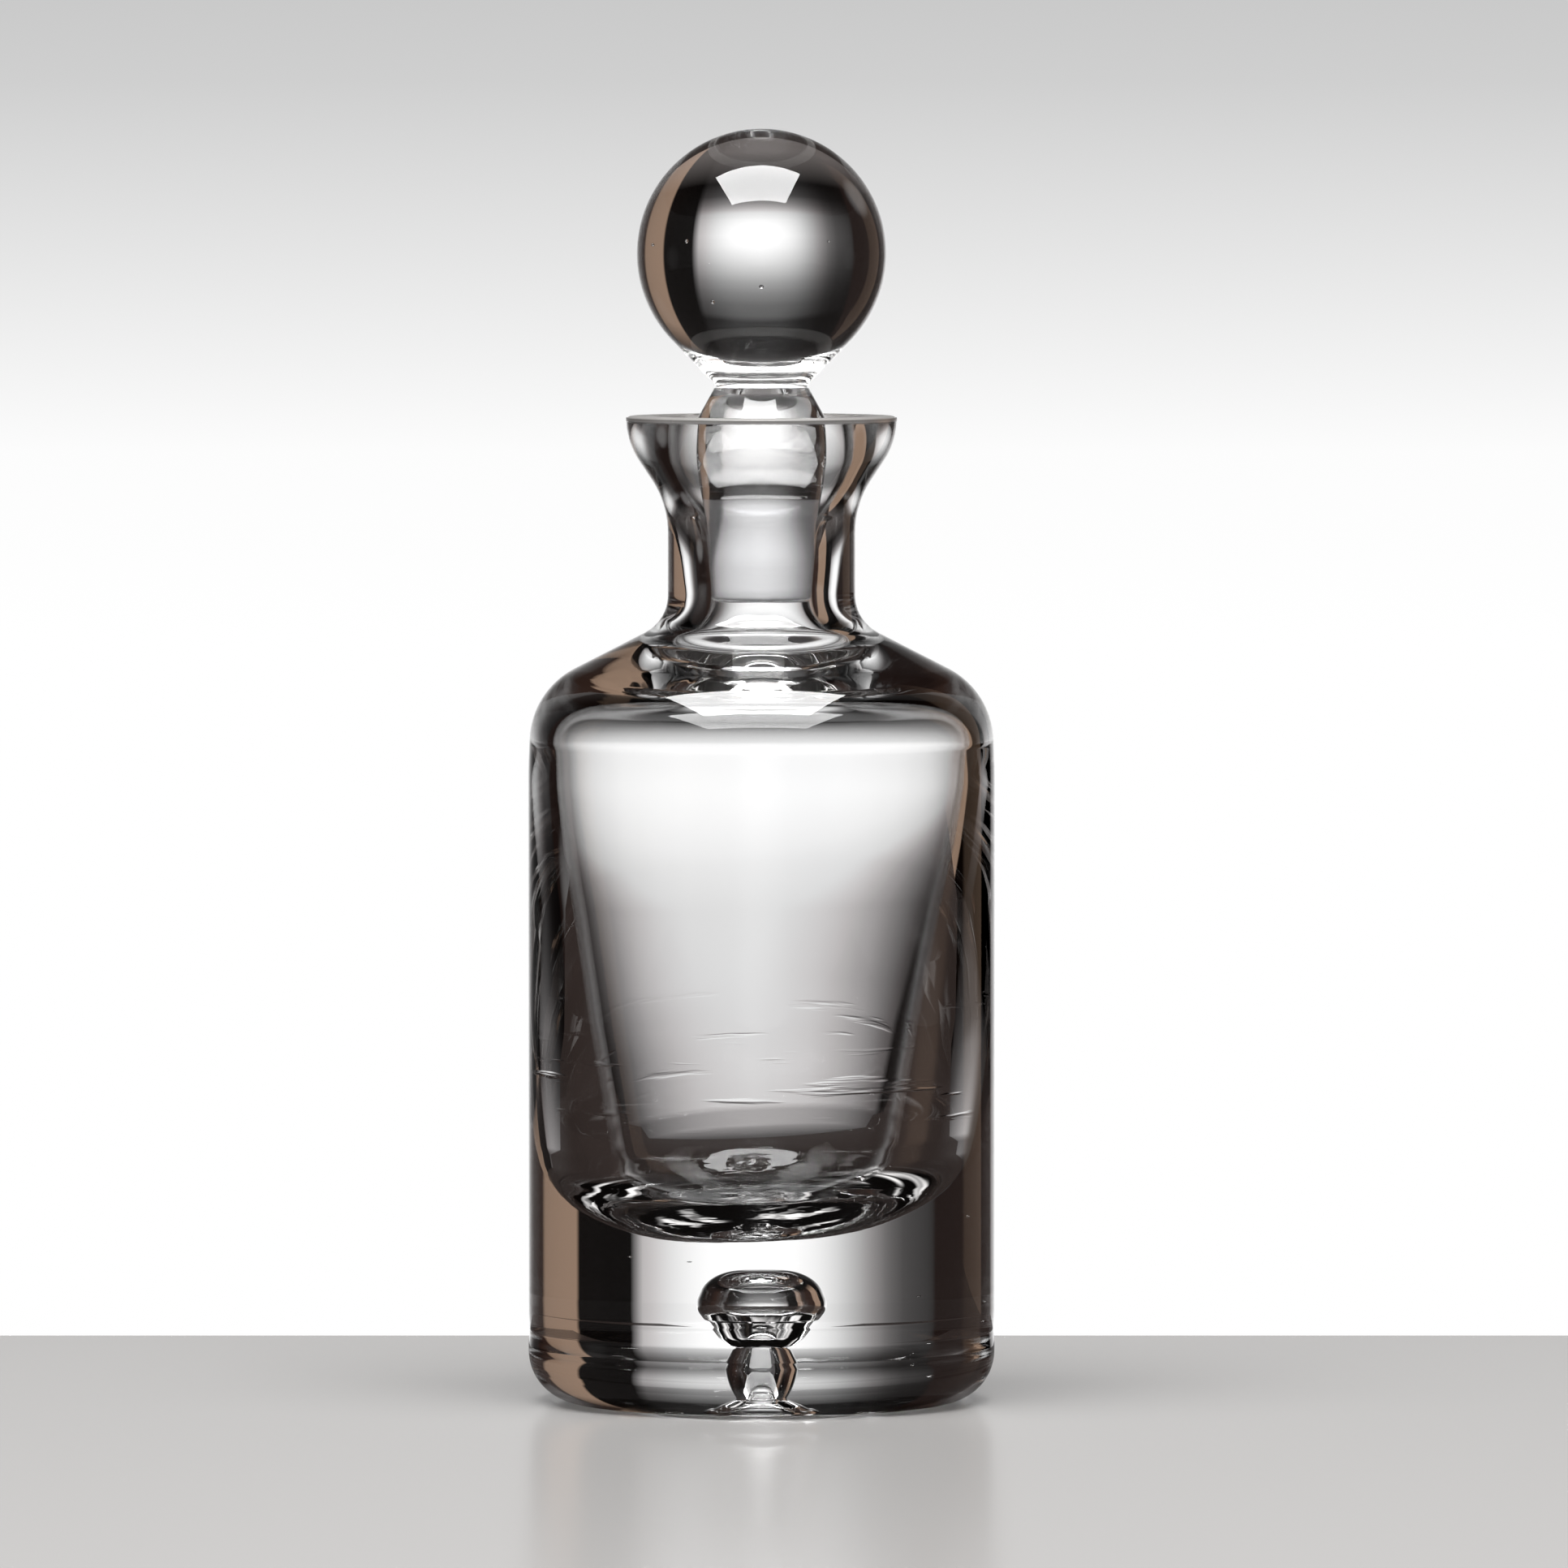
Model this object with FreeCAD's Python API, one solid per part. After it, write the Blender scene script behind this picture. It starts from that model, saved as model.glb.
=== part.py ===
# Thick-walled glass decanter with a bubble trapped in its base and a solid ball stopper.
#
# Frame: the origin is the centre of the flat base, +Z runs up the axis. Sizes are in millimetres.
# Every outline is drawn in the half plane of radius and height, then turned about the Z axis.
# A corner of an outline is (radius, height, rounding), and rounding 0 leaves it sharp.
import FreeCAD, Part
import math
import os

Vector = FreeCAD.Vector

# Outside of the bottle
body_radius = 55.0
bottle_height = 232.6
heel_rounding = 13.0
taper_start = 150.0
taper_rounding = 120.0
shoulder_radius = 54.2
shoulder_height = 167.9
shoulder_rounding = 19.5
neck_radius = 22.1
neck_foot_height = 184.3
neck_foot_rounding = 10.0
flare_start = 211.8
flare_start_rounding = 22.0
rim_radius = 31.9
flare_end = 226.6
flare_end_rounding = 18.5

# Lip: a broad flat ring, with the funnel running straight down from its inner edge
mouth_radius = 24.9
lip_rounding = 1.2
lip_depth = 3.0

# Cavity for the drink
floor_height = 39.0
floor_dish = 0.8
floor_radius = 19.5
cavity_foot_radius = 35.0
cavity_foot_height = 61.0
cavity_waist_radius = 47.3
cavity_waist_height = 132.0
cavity_top_radius = 49.9
cavity_top_height = 164.0
cavity_top_rounding = 12.0
crown_radius = 22.0
crown_height = 173.0
crown_rounding = 12.0

# The floor leans down towards -X and sits a little off the axis, and both fade out up the wall
floor_lean = math.tan(math.radians(2.9))
floor_offset = -0.9
lean_full_height = 85.0
lean_end_height = 155.0

# Ground fit between the plug and the waist of the neck's bore
plug_tip_radius = 11.65
plug_tip_height = 188.5
ground_top_radius = 14.0
ground_top_height = 213.8
ground_clearance = 0.06
throat_height = 184.8
throat_rounding = 16.0
socket_top_height = 203.5
socket_top_rounding = 45.0

# Bubble trapped in the base
bubble_top = 32.4
bubble_cap_radius = 10.6
bubble_cap_foot = 20.6
bubble_neck_radius = 3.9
bubble_neck_height = 14.3
bubble_bulb_radius = 6.3
bubble_bulb_height = 7.5
bubble_bottom = 1.0

# Stopper
knop_radius = 15.9
knop_height = 230.6
knop_rounding = 8.0
joint_radius = 11.1
joint_height = 239.2
waist_radius = 10.8
waist_rounding = 1.9
ball_radius = 29.4
ball_height = 270.8


def rounded_outline(corners):
    """Flat face bounded by straight runs through the corners, with tangent arcs at the rounded ones."""
    points = [Vector(radius, 0, height) for radius, height, rounding in corners]
    edges = []
    here = points[0]
    for index in range(1, len(corners)):
        point = points[index]
        rounding = corners[index][2]
        arc_start = point
        arc_end = point
        if rounding > 0:
            back = (points[index - 1] - point).normalize()
            ahead = (points[(index + 1) % len(points)] - point).normalize()
            half_angle = back.getAngle(ahead) / 2
            arc_start = point + back * (rounding / math.tan(half_angle))
            arc_end = point + ahead * (rounding / math.tan(half_angle))
        edges.append(Part.LineSegment(here, arc_start).toShape())
        if rounding > 0:
            inward = (back + ahead).normalize()
            arc_middle = point + inward * (rounding / math.sin(half_angle) - rounding)
            edges.append(Part.Arc(arc_start, arc_middle, arc_end).toShape())
        here = arc_end
    edges.append(Part.LineSegment(here, points[0]).toShape())
    return Part.Face(Part.Wire(edges))


def turned(corners):
    """Solid made by turning an outline about the Z axis."""
    return rounded_outline(corners).revolve(Vector(0, 0, 0), Vector(0, 0, 1), 360)


def ground_radius(height):
    """Radius of the plug's ground cone at a height."""
    slope = (ground_top_radius - plug_tip_radius) / (ground_top_height - plug_tip_height)
    return plug_tip_radius + slope * (height - plug_tip_height)


def funnel_radius(height):
    """Radius at a height of the straight funnel between the socket and the mouth."""
    socket_radius = ground_radius(socket_top_height) + ground_clearance
    slope = (mouth_radius - socket_radius) / (bottle_height - socket_top_height)
    return mouth_radius + slope * (height - bottle_height)


def leaned(solid):
    """Tilt and shift the lower part of a turned solid, by moving the control points of its surfaces."""
    faces = []
    for face in solid.toNurbs().Faces:
        surface = face.Surface
        for row, poles in enumerate(surface.getPoles(), 1):
            for column, pole in enumerate(poles, 1):
                share = (lean_end_height - pole.z) / (lean_end_height - lean_full_height)
                share = min(1, max(0, share))
                move = Vector(floor_offset * share, 0, floor_lean * share * pole.x)
                surface.setPole(row, column, pole + move)
        faces.append(surface.toShape())
    return Part.makeSolid(Part.makeShell(faces))


def outer_form():
    """Straight body, sloping shoulder, short neck and flared mouth, solid inside."""
    inside_lip = bottle_height - lip_depth
    return turned([
        (0, 0, 0),
        (body_radius, 0, heel_rounding),
        (body_radius, taper_start, taper_rounding),
        (shoulder_radius, shoulder_height, shoulder_rounding),
        (neck_radius, neck_foot_height, neck_foot_rounding),
        (neck_radius, flare_start, flare_start_rounding),
        (rim_radius, flare_end, flare_end_rounding),
        (rim_radius, bottle_height, lip_rounding),
        (mouth_radius, bottle_height, lip_rounding),
        (funnel_radius(inside_lip), inside_lip, 0),
        (0, inside_lip, 0),
    ])


def hollow():
    """Bowl and tapered wall of the cavity, its low crown, and a smooth hourglass up the neck to the funnel."""
    above = bottle_height + 1.0
    return turned([
        (0, floor_height, 0),
        (floor_radius, floor_height + floor_dish, 30.0),
        (32.6, 50.5, 20.0),
        (cavity_foot_radius, cavity_foot_height, 30.0),
        (cavity_waist_radius, cavity_waist_height, 300.0),
        (cavity_top_radius, cavity_top_height, cavity_top_rounding),
        (crown_radius, crown_height, crown_rounding),
        (ground_radius(throat_height) + ground_clearance, throat_height, throat_rounding),
        (funnel_radius(socket_top_height), socket_top_height, socket_top_rounding),
        (funnel_radius(above), above, 0),
        (0, above, 0),
    ])


def bubble():
    """Air trapped in the base: a mushroom cap over a pinched bulb."""
    return turned([
        (0, bubble_bottom, 0),
        (4.7, bubble_bottom, 2.5),
        (bubble_bulb_radius, bubble_bulb_height, 8.0),
        (bubble_neck_radius, bubble_neck_height, 1.2),
        (6.6, 17.2, 3.5),
        (8.2, bubble_cap_foot - 0.4, 0.3),
        (9.0, bubble_cap_foot, 0.3),
        (bubble_cap_radius, 23.6, 5.0),
        (8.2, bubble_top - 0.2, 7.0),
        (0, bubble_top, 0),
    ])


def decanter_bottle():
    """One thick piece of glass with the cavity, the bore and the bubble taken out."""
    return outer_form().cut(leaned(hollow())).cut(bubble())


def stopper_plug():
    """Ground cone that seats in the neck, with a clear knop above it."""
    return turned([
        (0, plug_tip_height, 0),
        (plug_tip_radius, plug_tip_height, 2.2),
        (ground_top_radius, ground_top_height, 0),
        (knop_radius, knop_height, knop_rounding),
        (joint_radius, joint_height, 0),
        (0, joint_height, 0),
    ])


def stopper_ball():
    """Solid ball drawn down in a cone to the waist where it is bonded to the plug."""
    cone_foot_height = ball_height - math.sqrt(2) * ball_radius + waist_radius
    skirt = turned([
        (0, joint_height, 0),
        (waist_radius, joint_height, 0),
        (waist_radius, cone_foot_height, waist_rounding),
        (ball_radius / math.sqrt(2), ball_height - ball_radius / math.sqrt(2), 0),
        (0, ball_height, 0),
    ])
    ball = Part.makeSphere(ball_radius, Vector(0, 0, ball_height))
    return ball.fuse(skirt).removeSplitter()


def write_part(node, solid):
    """Write one sub-part as a STEP file named after its node."""
    solid.exportStep(f"parts/{node}.step")
    print(f"{node}: {solid.Volume / 1000:.1f} cm3, valid {solid.isValid()}")


os.makedirs("parts", exist_ok=True)
write_part("decanter_bottle", decanter_bottle())
write_part("stopper_plug", stopper_plug())
write_part("stopper_ball", stopper_ball())
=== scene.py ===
"""Looks of a thick-walled glass decanter with a trapped bubble and a ball stopper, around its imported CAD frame."""

import math

import bpy
import numpy as np
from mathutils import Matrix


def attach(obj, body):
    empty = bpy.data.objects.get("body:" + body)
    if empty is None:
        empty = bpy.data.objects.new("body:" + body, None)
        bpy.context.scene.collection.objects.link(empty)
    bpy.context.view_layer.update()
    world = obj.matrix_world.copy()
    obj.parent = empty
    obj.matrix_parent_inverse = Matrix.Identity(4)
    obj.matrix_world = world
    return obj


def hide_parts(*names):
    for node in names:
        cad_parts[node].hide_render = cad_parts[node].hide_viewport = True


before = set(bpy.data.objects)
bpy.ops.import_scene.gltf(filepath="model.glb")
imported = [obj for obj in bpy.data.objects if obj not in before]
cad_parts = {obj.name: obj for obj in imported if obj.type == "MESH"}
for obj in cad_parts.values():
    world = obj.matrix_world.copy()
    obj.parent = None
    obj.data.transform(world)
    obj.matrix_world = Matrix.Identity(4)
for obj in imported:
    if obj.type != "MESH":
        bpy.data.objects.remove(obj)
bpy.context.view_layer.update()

MM = 0.001

# Shapes are in millimetres, and a corner of an outline is (radius, height, rounding).

# Bottle outside
BODY_RADIUS = 55.0
BOTTLE_HEIGHT = 232.6
HEEL_ROUNDING = 12.0
HEEL_GROOVE_DEPTH = 0.25
NECK_RADIUS = 22.1
RIM_RADIUS = 31.9
MOUTH_RADIUS = 24.9
LIP_ROUNDING = 1.2
# Ground fit
TIP_RADIUS, TIP_HEIGHT = 11.65, 188.5
GROUND_TOP_RADIUS, GROUND_TOP_HEIGHT = 14.0, 213.8
GROUND_CLEARANCE = 0.06
SOCKET_TOP_HEIGHT = 203.5
THROAT_HEIGHT = 184.8
# Cavity
CROWN = (22.0, 173.0, 12.0)
CAVITY_TOP = (49.9, 164.0, 12.0)
CAVITY_WAIST = (47.3, 132.0, 300.0)
CAVITY_FOOT = (35.0, 61.0, 30.0)
BOWL_EDGE = (32.6, 50.5, 20.0)
FLOOR_RADIUS, FLOOR_HEIGHT, FLOOR_DISH = 19.5, 39.0, 0.8
FLOOR_LEAN = math.tan(math.radians(2.9))
FLOOR_OFFSET = -0.9
LEAN_FULL_HEIGHT, LEAN_END_HEIGHT = 85.0, 155.0
# The lean moves only what is inside this cylinder and this cone, which run in the wall
LEAN_CYLINDER_RADIUS = 50.4
LEAN_CONE_RADIUS, LEAN_CONE_HEIGHT, LEAN_CONE_SLOPE = 38.5, 60.0, 0.19
# Stopper
BALL_RADIUS, BALL_HEIGHT = 29.4, 270.8
KNOP = (15.9, 230.6, 8.0)
JOINT_RADIUS, JOINT_HEIGHT = 11.1, 239.2
WAIST_RADIUS, WAIST_ROUNDING = 10.8, 1.9
# Seeds, the small air bubbles in the glass: (radius, height over width, centre)
BOTTLE_SEEDS = (
    (0.45, 0.3, (-12, -6, 34.5)), (0.3, 0.8, (-20.5, 3, 35)), (0.35, 1.0, (-18, -4, 8)), (0.3, 1.0, (-18, 2, 3)),
    (0.5, 0.3, (27, -5, 26)), (0.3, 1.2, (33, 8, 42)), (0.4, 0.5, (22, 18, 12)), (0.3, 0.9, (-38, 12, 22)))
STOPPER_SEEDS = (
    (0.3, 1.3, (-13, -4, 273)), (0.25, 1.0, (-16, 6, 272)), (0.35, 1.0, (-9, -8, 262)), (0.5, 0.9, (0, -20, 264)),
    (0.3, 0.6, (12, -6, 273)))

# Fineness of the meshes
ARC_STEP = math.radians(4)
SEGMENTS, BUBBLE_SEGMENTS, SEED_SEGMENTS = 288, 144, 16
BOTTLE_STEP, STOPPER_STEP, BUBBLE_STEP = 8.0, 2.0, 0.5
BALL_RINGS, SEED_RINGS = 60, 11

# Glass. A stretch is in waves per metre along each axis, and a relief or a fade in millimetres.
GLASS_IOR = 1.5
BOTTLE_WAVES, BOTTLE_RELIEF = (22, 22, 14), 0.03
STOPPER_WAVES, STOPPER_RELIEF = (30, 30, 22), 0.25
WALL_RADIUS, WALL_FADE = 50.5, 0.5
STREAK_LOW, STREAK_HIGH, STREAK_FADE = 73, 80, 9
STREAK_WAVES, STREAK_EDGES, STREAK_RELIEF = (26, 26, 330), (0.58, 0.72), 0.05
DISH_LOW, DISH_HIGH, DISH_FADE = 38, 49, 3
DISH_WAVES, DISH_WAVES_OUTWARD, DISH_RELIEF = (1, 1.6, 1.6), 110, 0.4
RIM_START_DEPTH, RIM_FULL_DEPTH = 1.5, 0.9
RIM_GRAIN, RIM_ROUGHNESS, RIM_ROUGHNESS_SPREAD = (900, 900, 900), 0.28, 0.1
RIM_CLOUD, RIM_COLOUR = 0.6, (0.3, 0.29, 0.28)
TINT_WAVES, COOL_TINT, WARM_TINT = (15, 15, 15), (0.985, 0.987, 0.99), (0.995, 0.993, 0.99)
GROUND_TIP_GAP, GROUND_TOP_GAP, GROUND_FADE = 1.6, 0.1, 0.6
GROUND_REACH, GROUND_REACH_FADE = 14.2, 0.8
GROUND_LINES, GROUND_RELIEF = (60, 60, 1300), 0.02
GROUND_ROUGHNESS, GROUND_ROUGHNESS_SPREAD, GROUND_CLOUD = 0.05, 0.14, 0.1
CLEAR_TINT, GROUND_TINT = (0.99, 0.99, 0.99), (0.94, 0.945, 0.96)

# Studio. Azimuths run from +Y towards +X, which is to the right of the camera's view, and both they and
# elevations are in degrees.
BLACK = (0.0, 0.0, 0.0)
TAN = (0.31, 0.21, 0.15)
DIM = (0.012, 0.007, 0.006)
BROWN = (0.03, 0.016, 0.012)
SHADE = (0.055, 0.047, 0.045)
ROOM = (0.14, 0.13, 0.127)
# Soft glows: (azimuth, elevation, reach, strength)
GLOWS = ((-48, -24, 10, 0.12), (90, -3, 10, 0.12), (-90, -3, 10, 0.12), (180, -3, 16, 0.5),
         (135, -6, 16, 0.2), (-135, -6, 16, 0.2))

# Floor, lamp and camera, in metres
FLOOR_HALF_WIDTH, FLOOR_FAR_EDGE = 1.5, 0.185
FLOOR_ROUGHNESS = 0.25
FLOOR_PALE, FLOOR_IN_GLASS = (0.25, 0.245, 0.24), (0.013, 0.0095, 0.0085)
# Painted caustics on the floor: a ring of bright swirls under the base that glows by emission, seen only through or
# in the glass. This is painted light standing in for light that the glass focuses there.
PAINTED_CAUSTIC_WAVES, PAINTED_CAUSTIC_EDGES = (22, 60, 1), (0.5, 0.62)
PAINTED_CAUSTIC_OUTER, PAINTED_CAUSTIC_OUTER_FULL, PAINTED_CAUSTIC_INNER, PAINTED_CAUSTIC_INNER_FULL = 0.036, 0.028, 0.012, 0.018
PAINTED_CAUSTIC_COLOUR, PAINTED_CAUSTIC_STRENGTH = (1, 0.98, 0.97), 1.2
SOFTBOX_WIDTH, SOFTBOX_DEPTH, SOFTBOX_RADIANCE = 3.0, 2.3, 17
SOFTBOX_PLACE = (-0.15, -1.15, 3.0)
LENS, SENSOR_WIDTH = 347, 36
CAMERA_SIDE, CAMERA_DISTANCE, CAMERA_HEIGHT, AIM_HEIGHT = 0.0053, 3.56, 0.3115, 0.1458
VIEW_REACH = 100
GLASS_BOUNCES, GLOSSY_BOUNCES = 40, 24


# Shapes

def ground_radius(height):
    slope = (GROUND_TOP_RADIUS - TIP_RADIUS) / (GROUND_TOP_HEIGHT - TIP_HEIGHT)
    return TIP_RADIUS + slope * (height - TIP_HEIGHT)


def outline(corners, step):
    """Points (radius, height) and unit directions along straight runs and the tangent arcs between them."""
    points, directions = [], []
    here = np.array(corners[0][:2], float)
    for before, corner, after in zip(corners, corners[1:], corners[2:]):
        point = np.array(corner[:2], float)
        back = np.array(before[:2], float) - point
        ahead = np.array(after[:2], float) - point
        back /= np.linalg.norm(back)
        ahead /= np.linalg.norm(ahead)
        half_angle = math.acos(np.clip(back @ ahead, -1, 1)) / 2
        tangent = corner[2] / math.tan(half_angle)
        run(points, directions, here, point + back * tangent, step)
        inward = (back + ahead) / np.linalg.norm(back + ahead)
        centre = point + inward * corner[2] / math.sin(half_angle)
        spoke = point + back * tangent - centre
        side = math.copysign(1, back[1] * ahead[0] - back[0] * ahead[1])
        sweep = math.pi - 2 * half_angle
        turns = max(2, math.ceil(sweep / ARC_STEP))
        for k in range(1, turns):
            angle = side * sweep * k / turns
            points.append(centre + rotated(spoke, angle))
            directions.append(rotated(-back, angle))
        here = point + ahead * tangent
    run(points, directions, here, np.array(corners[-1][:2], float), step)
    return np.array(points), np.array(directions)


def run(points, directions, start, end, step):
    """Add a straight run to an outline, in even steps."""
    length = np.linalg.norm(end - start)
    count = max(1, math.ceil(length / step))
    for k in range(count + 1):
        points.append(start + (end - start) * k / count)
        directions.append((end - start) / length)


def rotated(vector, angle):
    c, s = math.cos(angle), math.sin(angle)
    return np.array([vector[0] * c - vector[1] * s, vector[0] * s + vector[1] * c])


def oval(radius, half_height):
    """Outline of a seed, from the top down."""
    angles = np.linspace(0, math.pi, SEED_RINGS)
    points = np.stack([radius * np.sin(angles), half_height * np.cos(angles)], 1)
    directions = np.stack([radius * np.cos(angles), -half_height * np.sin(angles)], 1)
    points[-1, 0] = 0
    return points, directions / np.linalg.norm(directions, axis=1)[:, None]


def turned(path, segments=SEGMENTS, centre=(0, 0, 0)):
    """Outline turned about Z: points, tangents along the outline and around the axis, and faces."""
    co, along, around, faces = [], [], [], []
    rings = []
    for (radius, height), (out, up) in zip(*path):
        angles = 2 * math.pi * np.arange(1 if radius < 1e-6 else segments) / segments
        c, s, o = np.cos(angles), np.sin(angles), np.ones(len(angles))
        rings.append(range(len(co), len(co) + len(angles)))
        co.extend(np.stack([radius * c, radius * s, height * o], 1) + centre)
        along.extend(np.stack([out * c, out * s, up * o], 1))
        around.extend(np.stack([-s, c, 0 * o], 1))
    for low, high in zip(rings, rings[1:]):
        for k in range(segments):
            n = (k + 1) % segments
            if len(low) == 1:
                faces.append((low[0], high[n], high[k]))
            elif len(high) == 1:
                faces.append((low[k], low[n], high[0]))
            else:
                faces.append((low[k], low[n], high[n], high[k]))
    return np.array(co), np.array(along), np.array(around), faces


def seeds(rows):
    return [turned(oval(radius, radius * flat), SEED_SEGMENTS, centre) for radius, flat, centre in rows]


def glass_body(name, surfaces, shape=lambda co: co):
    """Mesh of turned surfaces with exact normals. shape(points) moves the points of the surfaces."""
    vertices, normals, faces = [], [], []
    reach = 0.001
    for co, along, around, some in surfaces:
        start = len(vertices)
        one = shape(co + reach * along) - shape(co - reach * along)
        two = shape(co + reach * around) - shape(co - reach * around)
        normal = np.cross(two, one)
        vertices.extend(shape(co) * MM)
        normals.extend(normal / np.linalg.norm(normal, axis=1)[:, None])
        faces.extend(tuple(start + v for v in face) for face in some)
    mesh = bpy.data.meshes.new(name)
    mesh.from_pydata(vertices, [], faces)
    mesh.shade_smooth()
    mesh.normals_split_custom_set_from_vertices(normals)
    return placed(name, mesh)


def placed(name, data):
    obj = bpy.data.objects.new(name, data)
    bpy.context.scene.collection.objects.link(obj)
    return obj


def bottle_profile():
    """Up the outside, over the lip and down the inside to the middle of the cavity's floor."""
    return outline([
        (0, 0, 0),
        (BODY_RADIUS, 0, HEEL_ROUNDING),
        (BODY_RADIUS, 13.4, 4.0),
        (BODY_RADIUS - HEEL_GROOVE_DEPTH, 17.0, 7.0),
        (BODY_RADIUS, 21.5, 10.0),
        (BODY_RADIUS, 150.0, 120.0),
        (54.2, 167.9, 19.5),
        (NECK_RADIUS, 184.3, 10.0),
        (NECK_RADIUS, 211.8, 22.0),
        (RIM_RADIUS, 226.6, 18.5),
        (RIM_RADIUS, BOTTLE_HEIGHT, LIP_ROUNDING),
        (MOUTH_RADIUS, BOTTLE_HEIGHT, LIP_ROUNDING),
        (ground_radius(SOCKET_TOP_HEIGHT) + GROUND_CLEARANCE, SOCKET_TOP_HEIGHT, 45.0),
        (ground_radius(THROAT_HEIGHT) + GROUND_CLEARANCE, THROAT_HEIGHT, 16.0),
        CROWN,
        CAVITY_TOP,
        CAVITY_WAIST,
        CAVITY_FOOT,
        BOWL_EDGE,
        (FLOOR_RADIUS, FLOOR_HEIGHT + FLOOR_DISH, 30.0),
        (0, FLOOR_HEIGHT, 0),
    ], BOTTLE_STEP)


def bubble_profile():
    """Mushroom cap over a pinched bulb, from the top down, so that the faces look into the bubble."""
    return outline([
        (0, 32.4, 0),
        (8.2, 32.2, 7.0),
        (10.6, 23.6, 5.0),
        (9.0, 20.6, 0.3),
        (8.2, 20.2, 0.3),
        (6.6, 17.2, 3.5),
        (3.9, 14.3, 1.2),
        (6.3, 7.5, 8.0),
        (4.7, 1.0, 2.5),
        (0, 1.0, 0),
    ], BUBBLE_STEP)


def leaned(co):
    """The cavity floor leans down towards -X and sits a little off the axis, and both fade out up the wall."""
    x, y, z = co.T
    radius = np.hypot(x, y)
    cone_radius = LEAN_CONE_SLOPE * (z - LEAN_CONE_HEIGHT) + LEAN_CONE_RADIUS
    inside = (radius < LEAN_CYLINDER_RADIUS) & (z > FLOOR_HEIGHT - 1) & (radius < cone_radius)
    share = np.clip((LEAN_END_HEIGHT - z) / (LEAN_END_HEIGHT - LEAN_FULL_HEIGHT), 0, 1) * inside
    return np.stack([x + FLOOR_OFFSET * share, y, z + FLOOR_LEAN * share * x], 1)


def stopper_profile():
    """Up the plug and its knop, over the small step at the joint, and up the ball from its waist."""
    cone_foot = BALL_HEIGHT - math.sqrt(2) * BALL_RADIUS + WAIST_RADIUS
    points, directions = outline([
        (0, TIP_HEIGHT, 0),
        (TIP_RADIUS, TIP_HEIGHT, 2.2),
        (GROUND_TOP_RADIUS, GROUND_TOP_HEIGHT, 20.0),
        KNOP,
        (JOINT_RADIUS, JOINT_HEIGHT, 0.12),
        (WAIST_RADIUS, JOINT_HEIGHT, 0.08),
        (WAIST_RADIUS, cone_foot, WAIST_ROUNDING),
        (BALL_RADIUS / math.sqrt(2), BALL_HEIGHT - BALL_RADIUS / math.sqrt(2), 0),
    ], STOPPER_STEP)
    angles = np.linspace(-math.pi / 4, math.pi / 2, BALL_RINGS)[1:]
    ball = np.stack([BALL_RADIUS * np.cos(angles), BALL_HEIGHT + BALL_RADIUS * np.sin(angles)], 1)
    ball[-1, 0] = 0
    turns = np.stack([-np.sin(angles), np.cos(angles)], 1)
    return np.concatenate([points, ball]), np.concatenate([directions, turns])


# Nodes

def math_node(tree, operation, a, b=None):
    node = tree.nodes.new("ShaderNodeMath")
    node.operation = operation
    for socket, value in zip(node.inputs, (a, b)):
        if value is None:
            continue
        if isinstance(value, (int, float)):
            socket.default_value = value
        else:
            tree.links.new(value, socket)
    return node.outputs[0]


def span(tree, value, start, end):
    """0 at start and 1 at end, with a smooth step between."""
    node = tree.nodes.new("ShaderNodeMapRange")
    node.interpolation_type = "SMOOTHSTEP"
    node.inputs["From Min"].default_value = start
    node.inputs["From Max"].default_value = end
    tree.links.new(value, node.inputs["Value"])
    return node.outputs[0]


def between(tree, value, start, end, fade):
    """1 where a length is between start and end, in millimetres, with a soft edge of the width fade."""
    rising = span(tree, value, (start - fade) * MM, start * MM)
    falling = span(tree, value, (end + fade) * MM, end * MM)
    return math_node(tree, "MULTIPLY", rising, falling)


def noise(tree, place, waves, detail=2.0):
    """Noise with its own number of waves per metre along each axis."""
    mapping = tree.nodes.new("ShaderNodeMapping")
    mapping.inputs["Scale"].default_value = waves
    tree.links.new(place, mapping.inputs["Vector"])
    node = tree.nodes.new("ShaderNodeTexNoise")
    node.inputs["Scale"].default_value = 1
    node.inputs["Detail"].default_value = detail
    tree.links.new(mapping.outputs[0], node.inputs["Vector"])
    return node.outputs["Fac"]


def plain(tree, colour):
    node = tree.nodes.new("ShaderNodeRGB")
    node.outputs[0].default_value = (*colour, 1)
    return node.outputs[0]


def ramp(tree, value, stops):
    """Colours along a value, from stops (position, colour)."""
    node = tree.nodes.new("ShaderNodeValToRGB")
    elements = node.color_ramp.elements
    while len(elements) > 1:
        elements.remove(elements[-1])
    elements[0].position = stops[0][0]
    elements[0].color = (*stops[0][1], 1)
    for position, colour in stops[1:]:
        elements.new(position).color = (*colour, 1)
    tree.links.new(value, node.inputs[0])
    return node.outputs[0]


def mixed(tree, blend, a, b, factor=1.0):
    node = tree.nodes.new("ShaderNodeMix")
    node.data_type = "RGBA"
    node.blend_type = blend
    if isinstance(factor, float):
        node.inputs[0].default_value = factor
    else:
        tree.links.new(factor, node.inputs[0])
    tree.links.new(a, node.inputs[6])
    tree.links.new(b, node.inputs[7])
    return node.outputs[2]


def split(tree, vector):
    node = tree.nodes.new("ShaderNodeSeparateXYZ")
    tree.links.new(vector, node.inputs[0])
    return node.outputs


def object_place(tree):
    """Place on the object: the vector, its x, y and z, and the distance from the axis."""
    place = tree.nodes.new("ShaderNodeTexCoord").outputs["Object"]
    x, y, z = split(tree, place)
    reach = math_node(tree, "SQRT", math_node(tree, "ADD", math_node(tree, "MULTIPLY", x, x),
                                              math_node(tree, "MULTIPLY", y, y)))
    return place, x, y, z, reach


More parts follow.
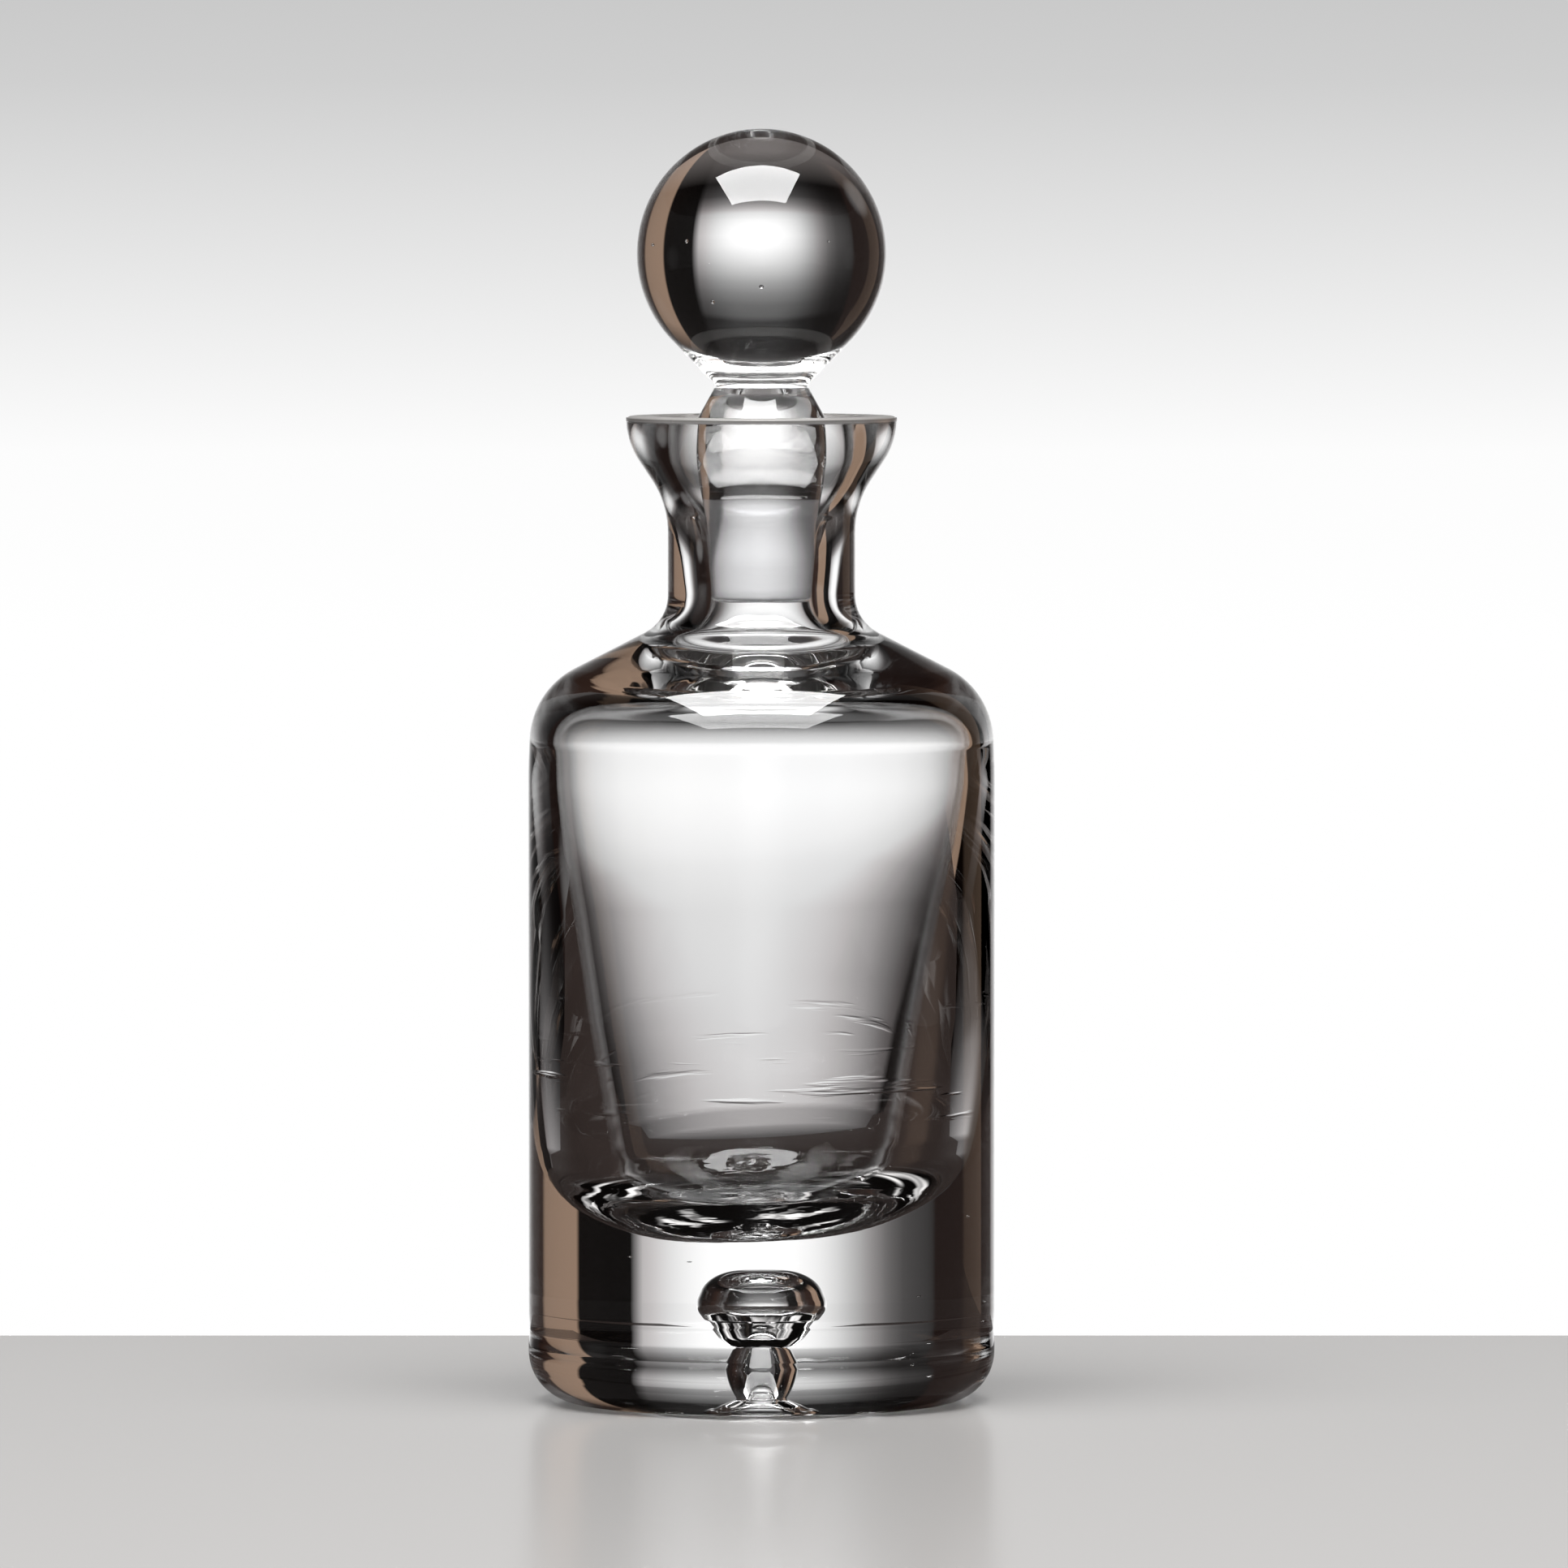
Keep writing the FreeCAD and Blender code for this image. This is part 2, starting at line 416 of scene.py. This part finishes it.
def relief(tree, shader, *layers):
    """Bump the surface by layers of (height texture, amplitude in millimetres, mask or None)."""
    total = None
    for texture, amplitude, mask in layers:
        layer = math_node(tree, "MULTIPLY", texture, amplitude)
        if mask is not None:
            layer = math_node(tree, "MULTIPLY", layer, mask)
        total = layer if total is None else math_node(tree, "ADD", total, layer)
    bump = tree.nodes.new("ShaderNodeBump")
    bump.inputs["Strength"].default_value = 1
    bump.inputs["Distance"].default_value = MM
    tree.links.new(total, bump.inputs["Height"])
    tree.links.new(bump.outputs[0], shader.inputs["Normal"])


# Materials

def new_material(name):
    material = bpy.data.materials.new(name)
    material.use_nodes = True
    return material, material.node_tree, material.node_tree.nodes["Principled BSDF"]


def glass(name):
    """Clear polished glass."""
    material, tree, shader = new_material(name)
    shader.inputs["Transmission Weight"].default_value = 1
    shader.inputs["IOR"].default_value = GLASS_IOR
    shader.inputs["Roughness"].default_value = 0
    return material, tree, shader


def bottle_glass():
    """Slow waves all over, streaks low on the cavity's wall, swirls in its dish, and a satin rim."""
    material, tree, shader = glass("bottle_glass")
    place, x, y, z, reach = object_place(tree)
    inside = span(tree, reach, (WALL_RADIUS + WALL_FADE) * MM, WALL_RADIUS * MM)
    streak_belt = math_node(tree, "MULTIPLY", between(tree, z, STREAK_LOW, STREAK_HIGH, STREAK_FADE), inside)
    streaks = span(tree, noise(tree, place, STREAK_WAVES, 3.0), *STREAK_EDGES)
    dish = math_node(tree, "MULTIPLY", between(tree, z, DISH_LOW, DISH_HIGH, DISH_FADE), inside)
    around_axis = tree.nodes.new("ShaderNodeCombineXYZ")
    outward = math_node(tree, "MULTIPLY", math_node(tree, "ADD", reach, z), DISH_WAVES_OUTWARD)
    tree.links.new(outward, around_axis.inputs[0])
    tree.links.new(math_node(tree, "DIVIDE", x, reach), around_axis.inputs[1])
    tree.links.new(math_node(tree, "DIVIDE", y, reach), around_axis.inputs[2])
    relief(tree, shader,
           (noise(tree, place, BOTTLE_WAVES), BOTTLE_RELIEF, None),
           (streaks, STREAK_RELIEF, streak_belt),
           (noise(tree, around_axis.outputs[0], DISH_WAVES, 3.0), DISH_RELIEF, dish))
    rim = span(tree, z, (BOTTLE_HEIGHT - RIM_START_DEPTH) * MM, (BOTTLE_HEIGHT - RIM_FULL_DEPTH) * MM)
    grain = math_node(tree, "MULTIPLY", noise(tree, place, RIM_GRAIN), RIM_ROUGHNESS_SPREAD)
    satin = math_node(tree, "ADD", grain, RIM_ROUGHNESS)
    tree.links.new(math_node(tree, "MULTIPLY", rim, satin), shader.inputs["Roughness"])
    clear = math_node(tree, "SUBTRACT", 1.0, math_node(tree, "MULTIPLY", rim, RIM_CLOUD))
    tree.links.new(clear, shader.inputs["Transmission Weight"])
    tint = ramp(tree, noise(tree, place, TINT_WAVES), [(0.3, COOL_TINT), (0.7, WARM_TINT)])
    tree.links.new(mixed(tree, "MIX", tint, plain(tree, RIM_COLOUR), rim), shader.inputs["Base Color"])
    return material


def stopper_glass():
    """Slow waves all over, and a milky ground cone below, lined round by the grinding."""
    material, tree, shader = glass("stopper_glass")
    place, x, y, z, reach = object_place(tree)
    height = between(tree, z, TIP_HEIGHT + GROUND_TIP_GAP, GROUND_TOP_HEIGHT - GROUND_TOP_GAP, GROUND_FADE)
    outside = span(tree, reach, (GROUND_REACH + GROUND_REACH_FADE) * MM, GROUND_REACH * MM)
    ground = math_node(tree, "MULTIPLY", height, outside)
    lines = noise(tree, place, GROUND_LINES, 3.0)
    relief(tree, shader,
           (noise(tree, place, STOPPER_WAVES), STOPPER_RELIEF, None),
           (lines, GROUND_RELIEF, ground))
    satin = math_node(tree, "ADD", math_node(tree, "MULTIPLY", lines, GROUND_ROUGHNESS_SPREAD), GROUND_ROUGHNESS)
    tree.links.new(math_node(tree, "MULTIPLY", satin, ground), shader.inputs["Roughness"])
    clear = math_node(tree, "SUBTRACT", 1.0, math_node(tree, "MULTIPLY", ground, GROUND_CLOUD))
    tree.links.new(clear, shader.inputs["Transmission Weight"])
    tree.links.new(ramp(tree, ground, [(0.0, CLEAR_TINT), (1.0, GROUND_TINT)]), shader.inputs["Base Color"])
    return material


def floor_finish():
    """Pale to the camera. Seen through or in the glass it is dark, with painted caustics under the base: bright
    swirls of painted light that glow by emission.
    """
    material, tree, shader = new_material("floor")
    shader.inputs["Roughness"].default_value = FLOOR_ROUGHNESS
    seen = tree.nodes.new("ShaderNodeLightPath").outputs["Is Camera Ray"]
    colour = mixed(tree, "MIX", plain(tree, FLOOR_IN_GLASS), plain(tree, FLOOR_PALE), seen)
    tree.links.new(colour, shader.inputs["Base Color"])
    place, x, y, z, reach = object_place(tree)
    # Painted caustics: emission in a ring of swirls under the base, shown only to rays from the glass. This is
    # painted light standing in for light focused through the glass.
    swirls = span(tree, noise(tree, place, PAINTED_CAUSTIC_WAVES), *PAINTED_CAUSTIC_EDGES)
    painted_caustic_ring = math_node(tree, "MULTIPLY", span(tree, reach, PAINTED_CAUSTIC_OUTER, PAINTED_CAUSTIC_OUTER_FULL),
                     span(tree, reach, PAINTED_CAUSTIC_INNER, PAINTED_CAUSTIC_INNER_FULL))
    painted_caustic_light = math_node(tree, "MULTIPLY", math_node(tree, "MULTIPLY", swirls, painted_caustic_ring),
                       math_node(tree, "SUBTRACT", 1.0, seen))
    shader.inputs["Emission Color"].default_value = (*PAINTED_CAUSTIC_COLOUR, 1)
    tree.links.new(math_node(tree, "MULTIPLY", painted_caustic_light, PAINTED_CAUSTIC_STRENGTH), shader.inputs["Emission Strength"])
    return material


# Surroundings

def grey(value):
    return (value, value, value)


def mauve(value):
    return (value, 0.96 * value, 0.96 * value)


def studio():
    """World of light for the glass: a bright window ahead, dark flanks, a tan card and soft glows.

    The camera itself sees a plain backdrop instead.
    """
    world = bpy.data.worlds.new("studio")
    bpy.context.scene.world = world
    world.use_nodes = True
    tree = world.node_tree
    tree.nodes.clear()
    direction = tree.nodes.new("ShaderNodeTexCoord").outputs["Generated"]
    x, y, z = split(tree, direction)
    turn = math_node(tree, "ADD", math_node(tree, "DIVIDE", math_node(tree, "ARCTAN2", x, y), 2 * math.pi), 0.5)
    rise = math_node(tree, "ADD", math_node(tree, "DIVIDE", math_node(tree, "ARCSINE", z), math.pi), 0.5)

    def around(stops):
        return ramp(tree, turn, [(azimuth / 360 + 0.5, colour) for azimuth, colour in stops])

    def upward(stops):
        return ramp(tree, rise, [(elevation / 180 + 0.5, colour) for elevation, colour in stops])

    window = mixed(tree, "MULTIPLY", around([
        (-36, BLACK), (-35, mauve(0.03)), (-27, mauve(0.06)), (-23, mauve(0.12)), (-19, mauve(0.27)),
        (-15, grey(0.49)), (-12, grey(0.68)), (-9, grey(0.83)), (-5, grey(0.95)), (0, grey(1.0)), (5, grey(0.99)),
        (9, grey(0.93)), (12, grey(0.84)), (15, grey(0.72)), (19, mauve(0.54)), (22, mauve(0.42)), (23, BLACK),
    ]), upward([
        (-40, mauve(0.03)), (-25, mauve(0.03)), (-20, mauve(0.09)), (-17, mauve(0.29)), (-15.5, mauve(0.46)),
        (-14.4, mauve(0.65)), (-13.5, grey(0.84)), (-11.2, grey(1.03)), (-9.3, grey(1.13)), (-6.3, grey(1.22)),
        (-3, grey(1.12)), (0, grey(0.93)), (4.7, grey(0.63)), (8.3, grey(0.4)), (12.1, grey(0.25)),
        (16.1, grey(0.15)), (20.4, grey(0.1)), (23, grey(0.02)),
    ]))
    flanks = mixed(tree, "MULTIPLY", around([
        (-180, ROOM), (-130, ROOM), (-95, SHADE), (-75, BROWN), (-60, DIM), (-36, DIM), (-35, BLACK), (39.5, BLACK),
        (40.5, TAN), (60, TAN), (61, BROWN), (75, BROWN), (95, SHADE), (130, ROOM), (180, ROOM),
    ]), upward([(-75, BLACK), (-50, grey(1.0)), (30, grey(1.0)), (50, BLACK)]))
    below = upward([(-90, (0.2, 0.18, 0.17)), (-45, (0.15, 0.135, 0.13)), (-32, (0.05, 0.045, 0.043)), (-26, BLACK)])
    light = mixed(tree, "ADD", mixed(tree, "ADD", window, flanks), below)
    for place in GLOWS:
        light = mixed(tree, "ADD", light, glow(tree, direction, *place))
    backdrop = upward([
        (-1.5, grey(1.0)), (-1.05, grey(0.89)), (-0.6, grey(0.77)), (-0.2, grey(0.67)), (0.25, grey(0.57)),
        (3, grey(0.4))])
    seen = tree.nodes.new("ShaderNodeLightPath").outputs["Is Camera Ray"]
    background = tree.nodes.new("ShaderNodeBackground")
    output = tree.nodes.new("ShaderNodeOutputWorld")
    tree.links.new(mixed(tree, "MIX", light, backdrop, seen), background.inputs[0])
    tree.links.new(background.outputs[0], output.inputs[0])


def glow(tree, direction, azimuth, elevation, reach, strength):
    """Round soft patch of light, strength at its centre and nothing beyond its reach."""
    a, e = math.radians(azimuth), math.radians(elevation)
    dot = tree.nodes.new("ShaderNodeVectorMath")
    dot.operation = "DOT_PRODUCT"
    tree.links.new(direction, dot.inputs[0])
    dot.inputs[1].default_value = (math.sin(a) * math.cos(e), math.cos(a) * math.cos(e), math.sin(e))
    patch = tree.nodes.new("ShaderNodeMapRange")
    patch.interpolation_type = "SMOOTHSTEP"
    patch.inputs["From Min"].default_value = math.cos(math.radians(reach))
    patch.inputs["To Max"].default_value = strength
    tree.links.new(dot.outputs["Value"], patch.inputs["Value"])
    return patch.outputs[0]


def floor():
    """Plain floor that ends a little behind the object."""
    near, far = -FLOOR_HALF_WIDTH, FLOOR_FAR_EDGE
    left, right = -FLOOR_HALF_WIDTH, FLOOR_HALF_WIDTH
    mesh = bpy.data.meshes.new("floor")
    mesh.from_pydata([(left, near, 0), (right, near, 0), (right, far, 0), (left, far, 0)], [], [(0, 1, 2, 3)])
    mesh.materials.append(floor_finish())
    placed("floor", mesh)


def softbox():
    """Wide lamp over the object, facing down."""
    data = bpy.data.lights.new("softbox", "AREA")
    data.shape = "RECTANGLE"
    data.size, data.size_y = SOFTBOX_WIDTH, SOFTBOX_DEPTH
    data.energy = SOFTBOX_RADIANCE * math.pi * data.size * data.size_y
    placed("softbox", data).location = SOFTBOX_PLACE


def camera():
    data = bpy.data.cameras.new("camera")
    data.lens = LENS
    data.sensor_width = SENSOR_WIDTH
    data.clip_end = VIEW_REACH
    obj = placed("camera", data)
    obj.location = (CAMERA_SIDE, -CAMERA_DISTANCE, CAMERA_HEIGHT)
    obj.rotation_euler = (math.pi / 2 - math.atan((CAMERA_HEIGHT - AIM_HEIGHT) / CAMERA_DISTANCE), 0, 0)
    bpy.context.scene.camera = obj


surfaces = [turned(bottle_profile()), turned(bubble_profile(), BUBBLE_SEGMENTS)] + seeds(BOTTLE_SEEDS)
bottle = glass_body("bottle_glass_body", surfaces, leaned)
bottle.data.materials.append(bottle_glass())
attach(bottle, "bottle")
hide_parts("decanter_bottle")

stopper = glass_body("stopper_glass_body", [turned(stopper_profile())] + seeds(STOPPER_SEEDS))
stopper.data.materials.append(stopper_glass())
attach(stopper, "stopper")
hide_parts("stopper_plug", "stopper_ball")

floor()
studio()
softbox()
camera()
scene = bpy.context.scene
scene.view_settings.view_transform = "Standard"
scene.cycles.max_bounces = GLASS_BOUNCES
scene.cycles.transmission_bounces = GLASS_BOUNCES
scene.cycles.glossy_bounces = GLOSSY_BOUNCES
